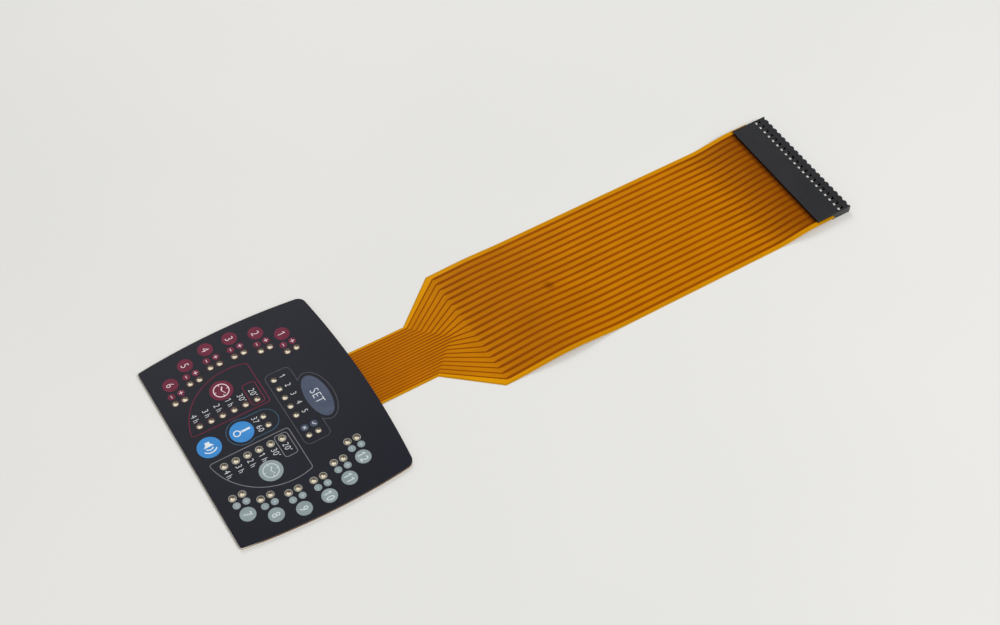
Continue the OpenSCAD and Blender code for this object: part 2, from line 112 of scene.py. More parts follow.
def copyNode(node, name):                   # a CAD node's mesh with its triangles joined up
    piece = copyMesh(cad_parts[node], name)
    piece.data.materials.clear()
    openMesh(piece)
    bpy.ops.mesh.remove_doubles(threshold=mergeGap * mm)
    closeMesh()
    bpy.ops.mesh.customdata_custom_splitnormals_clear()
    return piece


def looseParts(piece):                      # the separate bodies of one mesh, each a piece of its own
    openMesh(piece)
    bpy.ops.mesh.separate(type="LOOSE")
    closeMesh()
    return list(bpy.context.selected_objects)


def cornersOf(piece):                       # its lowest and highest corner
    return Vector(piece.bound_box[0]), Vector(piece.bound_box[6])


def partCentres(node):                      # middles of the separate bodies in one CAD node
    centres = []
    for part in looseParts(copyNode(node, "scrap")):
        low, high = cornersOf(part)
        centres.append((low + high) / 2)
    bpy.ops.object.delete()
    return sorted(centres, key=lambda place: (round(-place.y, rowDigits), round(place.x, rowDigits)))


def dress(piece, *materials):
    piece.data.materials.clear()
    for material in materials:
        piece.data.materials.append(material)


# Material building blocks

def paint(red, green, blue):                # screen colour, 0 to 255, as Blender's linear colour
    return tuple((c / 255 / 12.92 if c < 10.3 else ((c / 255 + 0.055) / 1.055) ** 2.4)
                 for c in (red, green, blue)) + (1,)


def startMaterial(name, sockets):
    material = bpy.data.materials.new(name)
    material.use_nodes = True
    shader = material.node_tree.nodes["Principled BSDF"]
    for socket, value in sockets.items():
        shader.inputs[socket].default_value = value
    return material, material.node_tree.nodes, material.node_tree.links, shader


def addNoise(nodes, links, scale, detail=2.0, stretch=(1, 1, 1)):
    coordinates = nodes.new("ShaderNodeTexCoord")
    mapping = nodes.new("ShaderNodeMapping")
    mapping.inputs["Scale"].default_value = stretch
    noise = nodes.new("ShaderNodeTexNoise")
    noise.inputs["Scale"].default_value = scale
    noise.inputs["Detail"].default_value = detail
    links.new(coordinates.outputs["Object"], mapping.inputs["Vector"])
    links.new(mapping.outputs["Vector"], noise.inputs["Vector"])
    return noise.outputs["Fac"]


def addRamp(nodes, links, factor, stops):
    ramp = nodes.new("ShaderNodeValToRGB")
    elements = ramp.color_ramp.elements
    elements[0].position, elements[0].color = stops[0]
    elements[1].position, elements[1].color = stops[-1]
    for position, colour in stops[1:-1]:
        elements.new(position).color = colour
    links.new(factor, ramp.inputs["Fac"])
    return ramp.outputs["Color"]


def addRange(nodes, links, value, lowIn, highIn, lowOut, highOut):
    stretch = nodes.new("ShaderNodeMapRange")
    for socket, number in zip(("From Min", "From Max", "To Min", "To Max"), (lowIn, highIn, lowOut, highOut)):
        stretch.inputs[socket].default_value = number
    links.new(value, stretch.inputs["Value"])
    return stretch.outputs["Result"]


def addMath(nodes, links, operation, first, second):
    mathNode = nodes.new("ShaderNodeMath")
    mathNode.operation = operation
    for socket, value in zip(mathNode.inputs, (first, second)):
        if isinstance(value, (int, float)):
            socket.default_value = value
        else:
            links.new(value, socket)
    return mathNode.outputs["Value"]


def addMix(nodes, links, factor, first, second, blend="MIX"):
    mix = nodes.new("ShaderNodeMix")
    mix.data_type = "RGBA"
    mix.blend_type = blend
    for socket, value in ((mix.inputs[0], factor), (mix.inputs[6], first), (mix.inputs[7], second)):
        if isinstance(value, (int, float, tuple)):
            socket.default_value = value
        else:
            links.new(value, socket)
    return mix.outputs[2]


def addRelief(nodes, links, shader, height, strength, depth):
    relief = nodes.new("ShaderNodeBump")
    relief.inputs["Strength"].default_value = strength
    relief.inputs["Distance"].default_value = depth
    links.new(height, relief.inputs["Height"])
    links.new(relief.outputs["Normal"], shader.inputs["Normal"])


def addFade(nodes, links, colour, tone, axis, start, end):   # another tone up to start, gone at end
    coordinates = nodes.new("ShaderNodeTexCoord")
    split = nodes.new("ShaderNodeSeparateXYZ")
    links.new(coordinates.outputs["Object"], split.inputs["Vector"])
    share = addRange(nodes, links, split.outputs[axis], start, end, 1, 0)
    return addMix(nodes, links, share, colour, paint(*tone))


# Two tones in soft patches, with a fine grain in the gloss and the relief
def grainedMaterial(name, look):
    material, nodes, links, shader = startMaterial(name, look.get("sockets", {}))
    stretch = look.get("stretch", (1, 1, 1))
    patches = addNoise(nodes, links, look["patchScale"], detail=3.0, stretch=stretch)
    tones = [paint(*look["darkTone"]), paint(*look["paleTone"])]
    colour = addRamp(nodes, links, patches, list(zip(noiseSpan, tones)))
    if "fade" in look:
        colour = addFade(nodes, links, colour, *look["fade"])
    links.new(colour, shader.inputs["Base Color"])
    grain = addNoise(nodes, links, look["grainScale"], stretch=stretch)
    gloss = addRange(nodes, links, grain, *noiseSpan, *look["roughness"])
    links.new(gloss, shader.inputs["Roughness"])
    addRelief(nodes, links, shader, grain, look["relief"], look["reliefDepth"] * mm)
    return material


# Camera, where the photograph was taken from

cameraSettings = {
    "place": (0.29101, -0.10034, 0.45185),
    "turn": (37.2271, -0.6179, 58.3928),    # degrees
    "lens": 60.4366,
    "sensor": 36,
    "clipStart": 0.01,                      # metres
}


def makeCamera(s):
    pose = {"location": s["place"], "rotation": [math.radians(angle) for angle in s["turn"]]}
    bpy.ops.object.camera_add(**pose)
    camera = bpy.context.object
    camera.name = "photoCamera"
    camera.data.lens = s["lens"]
    camera.data.sensor_width = s["sensor"]
    camera.data.clip_start = s["clipStart"]
    bpy.context.scene.camera = camera


makeCamera(cameraSettings)


# Floor and light

studioSettings = {
    "floorSize": 8,                         # metres
    "floorGap": 0.02,                       # mm under the part, so that no two faces share a plane
    "paper": {"darkTone": (228, 228, 225), "paleTone": (236, 235, 232), "patchScale": 3, "grainScale": 900,
              "roughness": (0.85, 0.95), "relief": 0.05, "reliefDepth": 0.05,
              "sockets": {"Specular IOR Level": 0.1}},
    "skyTone": (1.0, 0.99, 0.97, 1), "skyStrength": 0.36,
    "lamps": {                              # place and target in metres, size and watts
        "keyLamp": ((0.81, 0.48, 1.2), (0.0, 0.09, 0.0), 0.9, 13.2),
        "fillLamp": ((-0.9, 0.2, 0.95), (-0.03, 0.0, 0.0), 0.8, 4.9),
    },
}


def makeLamp(name, place, target, size, power):
    bpy.ops.object.light_add(type="AREA", location=place)
    lamp = bpy.context.object
    lamp.name = name
    lamp.rotation_euler = (Vector(target) - Vector(place)).to_track_quat("-Z", "Y").to_euler()
    lamp.data.shape = "DISK"
    lamp.data.size = size
    lamp.data.energy = power


def makeStudio(s):
    bpy.context.scene.view_settings.view_transform = "Standard"
    world = bpy.data.worlds.new("studioSky")
    world.use_nodes = True
    background = world.node_tree.nodes["Background"]
    background.inputs["Color"].default_value = s["skyTone"]
    background.inputs["Strength"].default_value = s["skyStrength"]
    bpy.context.scene.world = world
    for name, lamp in s["lamps"].items():
        makeLamp(name, *lamp)
    bpy.ops.mesh.primitive_plane_add(size=s["floorSize"], location=(0, 0, -s["floorGap"] * mm))
    floor = bpy.context.object
    floor.name = "paperFloor"
    applyPlace(floor)
    dress(floor, grainedMaterial("palePaper", s["paper"]))


makeStudio(studioSettings)
print("camera and studio set")


# Finishes of the CAD nodes that are shown as they are

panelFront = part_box("spacer")[0].y
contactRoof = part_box("contact_01")[1].z
paintedHighlightReach = (0.4, 7)                       # painted highlight: the spacer is pale cream up to this far from the front, then brown
boxShade = (0.35, 0.21)                     # painted shade: the contacts are dark from this far under their roof down
finishes = {
    "overlayBlack": {
        "nodes": ["overlay_film"],
        "darkTone": (9, 12, 25), "paleTone": (13, 16, 31), "patchScale": 60, "grainScale": 5000,
        "roughness": (0.32, 0.42), "relief": 0.1, "reliefDepth": 0.003,
        "sockets": {"Specular IOR Level": 0.145}},
    "clearGlue": {
        "nodes": ["overlay_adhesive"],
        "darkTone": (120, 112, 98), "paleTone": (140, 130, 114), "patchScale": 300, "grainScale": 2500,
        "roughness": (0.25, 0.4), "relief": 0.1, "reliefDepth": 0.01},
    "spacerBrown": {
        "nodes": ["spacer"],
        "darkTone": (62, 43, 34), "paleTone": (82, 60, 48), "patchScale": 250, "grainScale": 3000,
        # painted highlight: a pale cream tone on the spacer near the panel's front edge
        "fade": ((240, 236, 222), "Y", *(panelFront + reach * mm for reach in paintedHighlightReach)),
        "roughness": (0.16, 0.28), "relief": 0.05, "reliefDepth": 0.005},
    "linerCream": {
        "nodes": ["rear_adhesive"],
        "darkTone": (214, 204, 182), "paleTone": (228, 220, 200), "patchScale": 120, "grainScale": 1800,
        "roughness": (0.5, 0.7), "relief": 0.25, "reliefDepth": 0.02, "stretch": (1, 0.25, 1)},
    "bareCopper": {
        "nodes": ["dome_pads"],             # and the traces, which are bent below
        "darkTone": (176, 104, 62), "paleTone": (214, 140, 92), "patchScale": 300, "grainScale": 3500,
        "roughness": (0.25, 0.45), "relief": 0.1, "reliefDepth": 0.004, "sockets": {"Metallic": 1.0}},
    "springSteel": {
        "nodes": [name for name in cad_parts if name.startswith("dome_") and name != "dome_pads"],
        "darkTone": (178, 180, 184), "paleTone": (206, 208, 212), "patchScale": 500, "grainScale": 3000,
        "roughness": (0.18, 0.34), "relief": 0.15, "reliefDepth": 0.004, "stretch": (1, 0.08, 1),
        "sockets": {"Metallic": 1.0}},
    "brightTin": {
        "nodes": [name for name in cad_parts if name.startswith("contact_")],
        "darkTone": (240, 240, 237), "paleTone": (252, 252, 250), "patchScale": 700, "grainScale": 4000,
        # painted shade: the contacts' insides below the roof are dark
        "fade": ((58, 56, 52), "Z", *(contactRoof - depth * mm for depth in boxShade)),
        "roughness": (0.3, 0.5), "relief": 0.15, "reliefDepth": 0.006, "sockets": {"Metallic": 0.25}},
    "clearWindow": {
        "nodes": ["led_windows"],
        "darkTone": (206, 204, 196), "paleTone": (226, 224, 216), "patchScale": 900, "grainScale": 5000,
        "roughness": (0.05, 0.2), "relief": 0.05, "reliefDepth": 0.002, "sockets": {"Alpha": 0.05}},
}
finish = {}
for finishName, look in finishes.items():
    finish[finishName] = grainedMaterial(finishName, look)
    for nodeName in look["nodes"]:
        dress(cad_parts[nodeName], finish[finishName])
print("finishes given to the CAD nodes")


# The flexible tail: film, coverlay and the traces that show through it

tail = {
    "axisX": 1.5,
    "panelTop": 31.45, "neckEnd": 52.6, "taperEnd": 69.8, "housingY": 199.15,
    "wideHalf": 26.3,                       # half the film's width
    "panelLevel": 0.15, "dropLength": 12,   # the film comes down from the panel
    "waveLength": 46, "waveHeight": 1.4,    # the CAD film lies in an even arch after the taper
    "farWave": (30, 0.4), "nearWave": (50, 1.6),     # this one's arch at its -X and its +X edge
    "riseGap": 0.5, "riseLength": 18, "entryHeight": 2.0,    # and rises into the housing
    "dropSteps": 6, "waveSteps": 14, "riseSteps": 10,        # facets in the CAD film
    "fineStep": 1.0,                        # distance between the film's stations here
    "traces": 20, "neckPitch": 1.12, "pinPitch": 2.54,
    "fanPitch": 1.18, "fanOffset": 0.8, "fanEndOffset": 1.3,
    "traceWidth": 0.5, "wideTraceWidth": 0.95, "widening": 1.5,
    "coverTop": 0.22, "ridgeHeight": 0.03, "ridgeCrown": 0.55, "ridgeSpread": 1.12,   # over its trace
    "shadowDepth": 0.004, "shadowRise": 0.001, "shadowCrown": 0.9,   # the traces as seen from below
    "panelGap": 0.02, "traceReach": 0.3,    # they start this far from the panel and run into the housing
    "filmAngle": 25, "ridgeAngle": 40,      # edges that bend less than this are smooth
}
tail["riseStart"] = tail["housingY"] - tail["riseGap"] - tail["riseLength"]
tail["fanStart"] = tail["neckEnd"] + tail["fanOffset"]       # where the outermost traces leave the neck
tail["fanEnd"] = tail["taperEnd"] + tail["fanEndOffset"]


def clamped(t):
    return min(max(t, 0.0), 1.0)


def eased(t):
    t = clamped(t)
    return t * t * (3 - 2 * t)


def archHeight(y, length, height):
    return height * math.sin(math.pi * clamped((y - tail["taperEnd"]) / length)) ** 2


def endHeight(y):                           # coming down from the panel, rising into the housing
    drop = tail["panelLevel"] * (1 - eased((y - tail["panelTop"]) / tail["dropLength"]))
    return drop + tail["entryHeight"] * eased((y - tail["riseStart"]) / tail["riseLength"])


def cadHeight(y):                           # height of the CAD film's underside, mm
    return endHeight(y) + archHeight(y, tail["waveLength"], tail["waveHeight"])


def filmHeight(x, y):                       # the same for this film
    near = 0.5 + (x - tail["axisX"]) / (2 * tail["wideHalf"])
    farArch, nearArch = archHeight(y, *tail["farWave"]), archHeight(y, *tail["nearWave"])
    return endHeight(y) + farArch * (1 - near) + nearArch * near


def spacedStations(start, length, count):
    return [start + length * step / count for step in range(count + 1)]


bends = [(tail["panelTop"], tail["dropLength"], tail["dropSteps"]),
         (tail["taperEnd"], tail["waveLength"], tail["waveSteps"]),
         (tail["riseStart"], tail["riseLength"], tail["riseSteps"])]
cadStations = [y for start, length, count in bends for y in spacedStations(start, length, count)]
fineBends = [(tail["panelTop"], tail["dropLength"]), (tail["taperEnd"], tail["nearWave"][0]),
             (tail["riseStart"], tail["riseLength"])]
fineStations = [y for start, length in fineBends
                for y in spacedStations(start, length, round(length / tail["fineStep"]))]


def facetHeight(y):                         # the CAD film's height on its facets
    for low, high in zip(cadStations, cadStations[1:]):
        if low <= y <= high and high > low:
            share = (y - low) / (high - low)
            return cadHeight(low) * (1 - share) + cadHeight(high) * share
    return cadHeight(y)


def cutAcross(piece, stations):             # edge loops across the tail at these distances
    for y in stations:
        openMesh(piece)
        bpy.ops.mesh.bisect(plane_co=(0, y * mm, 0), plane_no=(0, 1, 0))
        closeMesh()


def cutAlong(piece, places, start, end):    # edge loops along the tail between two distances
    for x in places:
        openFaces(piece, lambda centre, normal: start < centre.y / mm < end)
        bpy.ops.mesh.bisect(plane_co=(x * mm, 0, 0), plane_no=(1, 0, 0))
        closeMesh()


def smoothFilm(node, name):                 # a CAD film layer with finer bends
    piece = copyNode(node, name)
    cutAcross(piece, sorted(set(fineStations) - set(cadStations)))
    ridgeHalf = tail["wideTraceWidth"] * tail["ridgeSpread"] / 2
    ridgeEdges = [traceCentre(trace, tail["fanEnd"]) + side * ridgeHalf
                  for trace in range(tail["traces"]) for side in (-1, 1)]
    cutAlong(piece, ridgeEdges, tail["taperEnd"], tail["taperEnd"] + tail["nearWave"][0])
    for vertex in piece.data.vertices:
        x, y = vertex.co.x / mm, vertex.co.y / mm
        vertex.co.z += (filmHeight(x, y) - facetHeight(y)) * mm
    pick(piece)
    bpy.ops.object.shade_smooth_by_angle(angle=math.radians(tail["filmAngle"]))
    return piece


def bendOf(trace):                          # where a trace leaves the neck
    return tail["fanStart"] + tail["fanPitch"] * min(trace, tail["traces"] - 1 - trace)


def traceCentre(trace, y):
    place = trace - (tail["traces"] - 1) / 2
    share = clamped((y - bendOf(trace)) / (tail["fanEnd"] - bendOf(trace)))
    return tail["axisX"] + place * (tail["neckPitch"] + (tail["pinPitch"] - tail["neckPitch"]) * share)


def traceWidth(y):
    share = clamped((y - tail["fanEnd"]) / tail["widening"])
    return tail["traceWidth"] + (tail["wideTraceWidth"] - tail["traceWidth"]) * share


def straightStrip(low, high, crown, start, end):     # 1 mm wide at low, narrower at high, cut at every bend
    bpy.ops.mesh.primitive_cube_add(size=1, location=(0, (start + end) / 2 * mm, (low + high) / 2 * mm))
    strip = bpy.context.object
    strip.scale = (mm, (end - start) * mm, abs(high - low) * mm)
    applyPlace(strip)
    side = 1 if high > low else -1
    openFaces(strip, lambda centre, normal: normal.z * side > facesUp)
    bpy.ops.transform.resize(value=(crown, 1, 1))
    closeMesh()
    stations = [bendOf(trace) for trace in range(tail["traces"] // 2)]
    stations += [tail["fanEnd"], tail["fanEnd"] + tail["widening"]]
    cutAcross(strip, sorted(set(fineStations + stations)))
    return strip


def layTraces(strip, name, spread):         # copies of the strip, each bent along its trace
    traces = []
    for trace in range(tail["traces"]):
        copy = copyMesh(strip, name)
        for vertex in copy.data.vertices:
            y = vertex.co.y / mm
            x = traceCentre(trace, y) + vertex.co.x / mm * traceWidth(y) * spread
            vertex.co.x = x * mm
            vertex.co.z += filmHeight(x, y) * mm
        traces.append(copy)
    bpy.data.objects.remove(strip)
    return joinPieces(traces, name)


# Amber film: each layer's tone, and the painted light and shade along the tail as shares of that tone at
# distances in mm
amber = {
    # painted shade: the film is darker under the panel
    "base": {"tone": (206, 146, 6), "paintedShading": [(-32, 0.54), (30.5, 0.54), (31.5, 0.95), (199, 1.0)]},
    # painted light and shade: brighter and darker bands where the bent film meets the lamps, and a painted
    # shadow where it goes into the housing
    "cover": {"tone": (197, 122, 2),
              "paintedShading": [(31, 0.87), (45, 0.93), (66, 1.0), (76, 0.93), (90, 0.9), (120, 1.0), (178, 0.99),
                         (190, 0.83), (197, 0.72), (199, 0.36)]},
    # painted light and shade: the same bands and the painted shadow at the housing over the traces
    "overCopper": {"tone": (154, 76, 0),
                   "paintedShading": [(31, 0.96), (46, 1.02), (70, 0.9), (105, 0.97), (168, 1.02), (188, 0.84),
                              (197, 0.8), (199, 0.38)]},
    "underCopper": {"tone": (150, 85, 5), "paintedShading": [(31, 0.98), (199, 1.0)]},
    # painted light: the margin is brighter near the neck
    "margin": {"tone": (204, 136, 2), "paintedShading": [(31, 1.07), (72, 1.05), (100, 0.98), (199, 1.01)]},
    "neckInner": 10.9, "wideInner": 24.6, "marginBlur": 0.12,    # half the width inside the margin
    "reddening": 1.4,                       # green fades faster than red where the painted shade darkens the film
    "smudge": (0.4, 104), "smudgeCore": 0.9, "smudgeReach": 3.2, "smudgeTone": (0.64, 0.52, 0.44, 1),
    "smudgeNoise": 900, "smudgeRagged": 1.6,
    "mottle": {"scale": 140, "detail": 4.0, "stretch": (1, 0.5, 1)},
    "mottleTones": [(0.93, 0.92, 0.9, 1), (1.05, 1.05, 1.05, 1)],
    "grain": {"scale": 2500}, "roughness": (0.3, 0.45),
    "ripple": {"scale": 260, "detail": 3.0}, "relief": 0.15, "reliefDepth": 0.03,
    "sockets": {"Specular IOR Level": 0.1, "Specular Tint": (1.0, 0.62, 0.03, 1)},
}


def shaded(tone, share):
    red, green, blue = tone
    return paint(red * share, green * share ** amber["reddening"], blue * share)


def addTones(nodes, links, along, layer):   # a ramp of painted light and shade along the tail
    start, end = layer["paintedShading"][0][0], layer["paintedShading"][-1][0]
    place = addRange(nodes, links, along, start * mm, end * mm, 0, 1)
    stops = [((y - start) / (end - start), shaded(layer["tone"], share)) for y, share in layer["paintedShading"]]
    return addRamp(nodes, links, place, stops)


def addSmudge(nodes, links, place, colour):  # a brown mark in the middle of the tail
    x, y = amber["smudge"]
    span = nodes.new("ShaderNodeVectorMath")
    span.operation = "DISTANCE"
    span.inputs[1].default_value = (x * mm, y * mm, (filmHeight(x, y) + tail["coverTop"]) * mm)
    links.new(place, span.inputs[0])
    noise = addNoise(nodes, links, amber["smudgeNoise"])
    ragged = addMath(nodes, links, "MULTIPLY", noise, amber["smudgeRagged"] * mm)
    reach = addMath(nodes, links, "ADD", span.outputs["Value"], ragged)
    share = addRange(nodes, links, reach, amber["smudgeReach"] * mm, amber["smudgeCore"] * mm, 0, 1)
    browned = addMix(nodes, links, 1.0, colour, amber["smudgeTone"], "MULTIPLY")
    return addMix(nodes, links, share, colour, browned)


def amberMaterial(name, layer, withMargin, smudged):
    material, nodes, links, shader = startMaterial(name, amber["sockets"])
    coordinates = nodes.new("ShaderNodeTexCoord")
    split = nodes.new("ShaderNodeSeparateXYZ")
    links.new(coordinates.outputs["Object"], split.inputs["Vector"])
    along = split.outputs["Y"]
    colour = addTones(nodes, links, along, layer)
    if withMargin:
        across = addMath(nodes, links, "SUBTRACT", split.outputs["X"], tail["axisX"] * mm)
        aside = addMath(nodes, links, "ABSOLUTE", across, 0)
        inner = addRange(nodes, links, along, tail["fanStart"] * mm, tail["fanEnd"] * mm,
                         amber["neckInner"] * mm, amber["wideInner"] * mm)
        past = addMath(nodes, links, "SUBTRACT", aside, inner)
        blur = amber["marginBlur"] * mm
        share = addRange(nodes, links, past, -blur, blur, 0, 1)
        colour = addMix(nodes, links, share, colour, addTones(nodes, links, along, amber["margin"]))
    mottle = addNoise(nodes, links, **amber["mottle"])
    shade = addRamp(nodes, links, mottle, list(zip(noiseSpan, amber["mottleTones"])))
    colour = addMix(nodes, links, 1.0, colour, shade, "MULTIPLY")
    if smudged:
        colour = addSmudge(nodes, links, coordinates.outputs["Object"], colour)
    links.new(colour, shader.inputs["Base Color"])
    grain = addNoise(nodes, links, **amber["grain"])
    gloss = addRange(nodes, links, grain, *noiseSpan, *amber["roughness"])
    links.new(gloss, shader.inputs["Roughness"])
    ripple = addNoise(nodes, links, **amber["ripple"])
    addRelief(nodes, links, shader, ripple, amber["relief"], amber["reliefDepth"] * mm)
    return material


def makeTail():
    film = smoothFilm("flex_film", "tailFilm")
    dress(film, amberMaterial("amberBase", amber["base"], False, False))
    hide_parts("flex_film")
    cover = smoothFilm("coverlay", "tailCover")
    dress(cover, amberMaterial("amberCover", amber["cover"], True, True))
    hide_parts("coverlay")
    copper = smoothFilm("copper_traces", "copperTraces")
    dress(copper, finish["bareCopper"])
    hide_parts("copper_traces")
    start, end = tail["panelTop"] + tail["panelGap"], tail["housingY"] + tail["traceReach"]
    top = tail["coverTop"]
    ridge = straightStrip(top, top + tail["ridgeHeight"], tail["ridgeCrown"], start, end)
    ridges = layTraces(ridge, "traceRidges", tail["ridgeSpread"])
    bpy.ops.object.shade_smooth_by_angle(angle=math.radians(tail["ridgeAngle"]))
    dress(ridges, amberMaterial("amberOverCopper", amber["overCopper"], False, True))
    shadow = straightStrip(tail["shadowRise"], -tail["shadowDepth"], tail["shadowCrown"], start, end)
    shadows = layTraces(shadow, "tracesFromBelow", 1)
    dress(shadows, amberMaterial("amberUnderCopper", amber["underCopper"], False, False))
    for piece in (film, cover, copper, ridges, shadows):
        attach(piece, "root")


makeTail()
print("tail made")


# Connector housing: the CAD solid with its moulded edges eased

housing = {
    "edgeRadius": 0.06, "edgeSegments": 2, "edgeAngle": 40,
    "flatAngle": 1, "flatWeight": 100,      # faces that meet flatter are one, and flat faces stay flat
    "look": {"darkTone": (23, 24, 28), "paleTone": (30, 31, 35), "patchScale": 120, "grainScale": 2600,
             "roughness": (0.26, 0.38), "relief": 0.12, "reliefDepth": 0.006},
}


def makeHousing(s):
    piece = copyNode("connector_housing", "crimpHousing")
    openMesh(piece)
    bpy.ops.mesh.dissolve_limited(angle_limit=math.radians(s["flatAngle"]))
    closeMesh()
    useModifier(piece, "BEVEL", width=s["edgeRadius"] * mm, segments=s["edgeSegments"],
                limit_method="ANGLE", angle_limit=math.radians(s["edgeAngle"]))
    pick(piece)
    bpy.ops.object.shade_smooth()
    useModifier(piece, "WEIGHTED_NORMAL", weight=s["flatWeight"])
    dress(piece, grainedMaterial("mouldedBlack", s["look"]))
    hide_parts("connector_housing")
    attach(piece, "root")


makeHousing(housing)
print("housing made")


# LEDs: a base with tinned ends, and a cast lens with a notch that marks its pole

led = {
    "nodes": ["zone_leds_left", "zone_leds_right", "timer_leds_left", "timer_leds_right",
              "temperature_leds", "program_leds", "confirm_leds"],
    "length": 2.0, "width": 1.25, "height": 0.55, "baseHeight": 0.2,
    "lensLength": 1.4, "lensDraft": 0.9, "lensEdge": 0.07,
    "notchStart": 0.08, "notchEnd": 0.56, "notchReach": 1.0, "notchDepth": 0.24,
    "endEdge": 0.03, "endSegments": 2, "lensSegments": 3, "smoothAngle": 35,
    "endSlack": 0.01, "notchSlack": 0.02, "floorSlack": 0.05,    # for faces that are painted by their place
    "cream": {"darkTone": (236, 222, 186), "paleTone": (250, 240, 212), "patchScale": 1500,
              "grainScale": 6000, "roughness": (0.25, 0.4), "relief": 0.1, "reliefDepth": 0.01},
    "notchBrown": {"darkTone": (52, 26, 14), "paleTone": (74, 40, 22), "patchScale": 1500,
                   "grainScale": 6000, "roughness": (0.4, 0.6), "relief": 0.1, "reliefDepth": 0.01},
    "tinnedEnd": {"darkTone": (205, 186, 176), "paleTone": (232, 216, 206), "patchScale": 1500,
                  "grainScale": 6000, "roughness": (0.3, 0.5), "relief": 0.1, "reliefDepth": 0.01,
                  "sockets": {"Metallic": 0.5}},
}


def addBlock(width, length, height):        # stands on z = 0
    bpy.ops.mesh.primitive_cube_add(size=1, location=(0, 0, height / 2 * mm))
    block = bpy.context.object
    block.scale = (width * mm, length * mm, height * mm)
    applyPlace(block)
    return block


def setFaces(piece, slotIndex, wanted):
    for face in piece.data.polygons:
        if wanted(face.center / mm):
            face.material_index = slotIndex


def modelLed(s, cream, brown, tin):
    base = addBlock(s["width"], s["length"], s["baseHeight"])
    cutAcross(base, [-s["lensLength"] / 2, s["lensLength"] / 2])
    useModifier(base, "BEVEL", width=s["endEdge"] * mm, segments=s["endSegments"], limit_method="ANGLE")
    dress(base, cream, brown, tin)
    setFaces(base, 2, lambda centre: abs(centre.y) > s["lensLength"] / 2 - s["endSlack"])
    lens = addBlock(s["width"], s["lensLength"], s["height"])
    openFaces(lens, lambda centre, normal: normal.z > facesUp)
    bpy.ops.transform.resize(value=(s["lensDraft"], s["lensDraft"], 1))
    closeMesh()
    notch = addBlock(s["notchReach"], s["notchEnd"] - s["notchStart"], s["height"])
    notchFloor = s["height"] - s["notchDepth"]
    notch.location = (-s["width"] / 2 * mm, (s["notchStart"] + s["notchEnd"]) / 2 * mm, notchFloor * mm)
    applyPlace(notch)
    useModifier(lens, "BOOLEAN", operation="DIFFERENCE", solver="EXACT", object=notch)
    bpy.data.objects.remove(notch)
    useModifier(lens, "BEVEL", width=s["lensEdge"] * mm, segments=s["lensSegments"], limit_method="ANGLE")
    dress(lens, cream, brown, tin)
    slack = s["notchSlack"]
    setFaces(lens, 1, lambda centre: s["notchStart"] - slack < centre.y < s["notchEnd"] + slack
             and centre.x < s["notchReach"] - s["width"] / 2
             and notchFloor - s["floorSlack"] < centre.z < s["height"] - s["lensEdge"])
    model = joinPieces([lens, base], "ledModel")
    bpy.ops.object.shade_smooth_by_angle(angle=math.radians(s["smoothAngle"]))
    return model


def makeLeds(s):
    look = [grainedMaterial(name, s[name]) for name in ("cream", "notchBrown", "tinnedEnd")]
    model = modelLed(s, *look)
    count = 0
    for node in s["nodes"]:
        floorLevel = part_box(node)[0].z
        chips = []
        for centre in partCentres(node):
            chip = copyMesh(model, "chip")
            chip.location = (centre.x, centre.y, floorLevel)
            applyPlace(chip)
            chips.append(chip)
        count += len(chips)
        words = node.split("_")
        group = joinPieces(chips, words[0] + "".join(word.title() for word in words[1:]))
        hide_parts(node)
        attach(group, "root")
    bpy.data.objects.remove(model)
    print(count, "LEDs made")


makeLeds(led)


# Printed fields: the discs, window rings and frame lines of one colour each have their own ink

prints = {
    "fullShare": 0.5, "ringSize": 4,        # a disc fills this much of its box, a ring is smaller than this
    "surface": {"patchScale": 350, "grainScale": 4000, "roughness": (0.34, 0.46), "relief": 0.1,
                "reliefDepth": 0.004, "sockets": {"Specular IOR Level": 0.17}},
    "inks": {
        "red_print": ("redPrint", "print_red", {
            "disc": ((98, 15, 46), (112, 23, 56)), "ring": ((60, 14, 22), (76, 22, 28)),
            "frame": ((108, 14, 50), (124, 22, 60))}),
        "grey_print": ("greyPrint", "print_grey", {
            "disc": ((134, 148, 151), (148, 162, 164)), "ring": ((150, 147, 136), (172, 168, 156)),
            "frame": ((112, 112, 116), (130, 130, 134))}),
        "blue_print": ("bluePrint", "print_blue", {
            "disc": ((45, 130, 200), (57, 140, 210)), "frame": ((46, 78, 100), (58, 94, 116))}),
        "slate_print": ("slatePrint", "print_slate", {
            "disc": ((63, 73, 94), (73, 83, 104)), "frame": ((62, 64, 72), (78, 80, 88))}),
    },
}


def fieldKind(field):
    low, high = cornersOf(field)
    spread = high - low
    covered = sum(face.area for face in field.data.polygons if face.normal.z > facesUp)
    if covered > prints["fullShare"] * spread.x * spread.y:
        return "disc"
    return "ring" if spread.x < prints["ringSize"] * mm else "frame"


def makePrints(s):
    for node, (name, slotName, tones) in s["inks"].items():
        inks = {}
        for kind, (dark, pale) in tones.items():
            look = {"darkTone": dark, "paleTone": pale, **s["surface"]}
            inks[kind] = grainedMaterial(name + kind.title() + "Ink", look)
        fields = looseParts(copyNode(node, name))
        for field in fields:
            dress(field, inks[fieldKind(field)])
        piece = joinPieces(fields, name)
        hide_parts(node)
        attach(piece, "root")


makePrints(prints)
print("colour fields printed")


# Printed legends, thin ink on the overlay and on the coloured discs

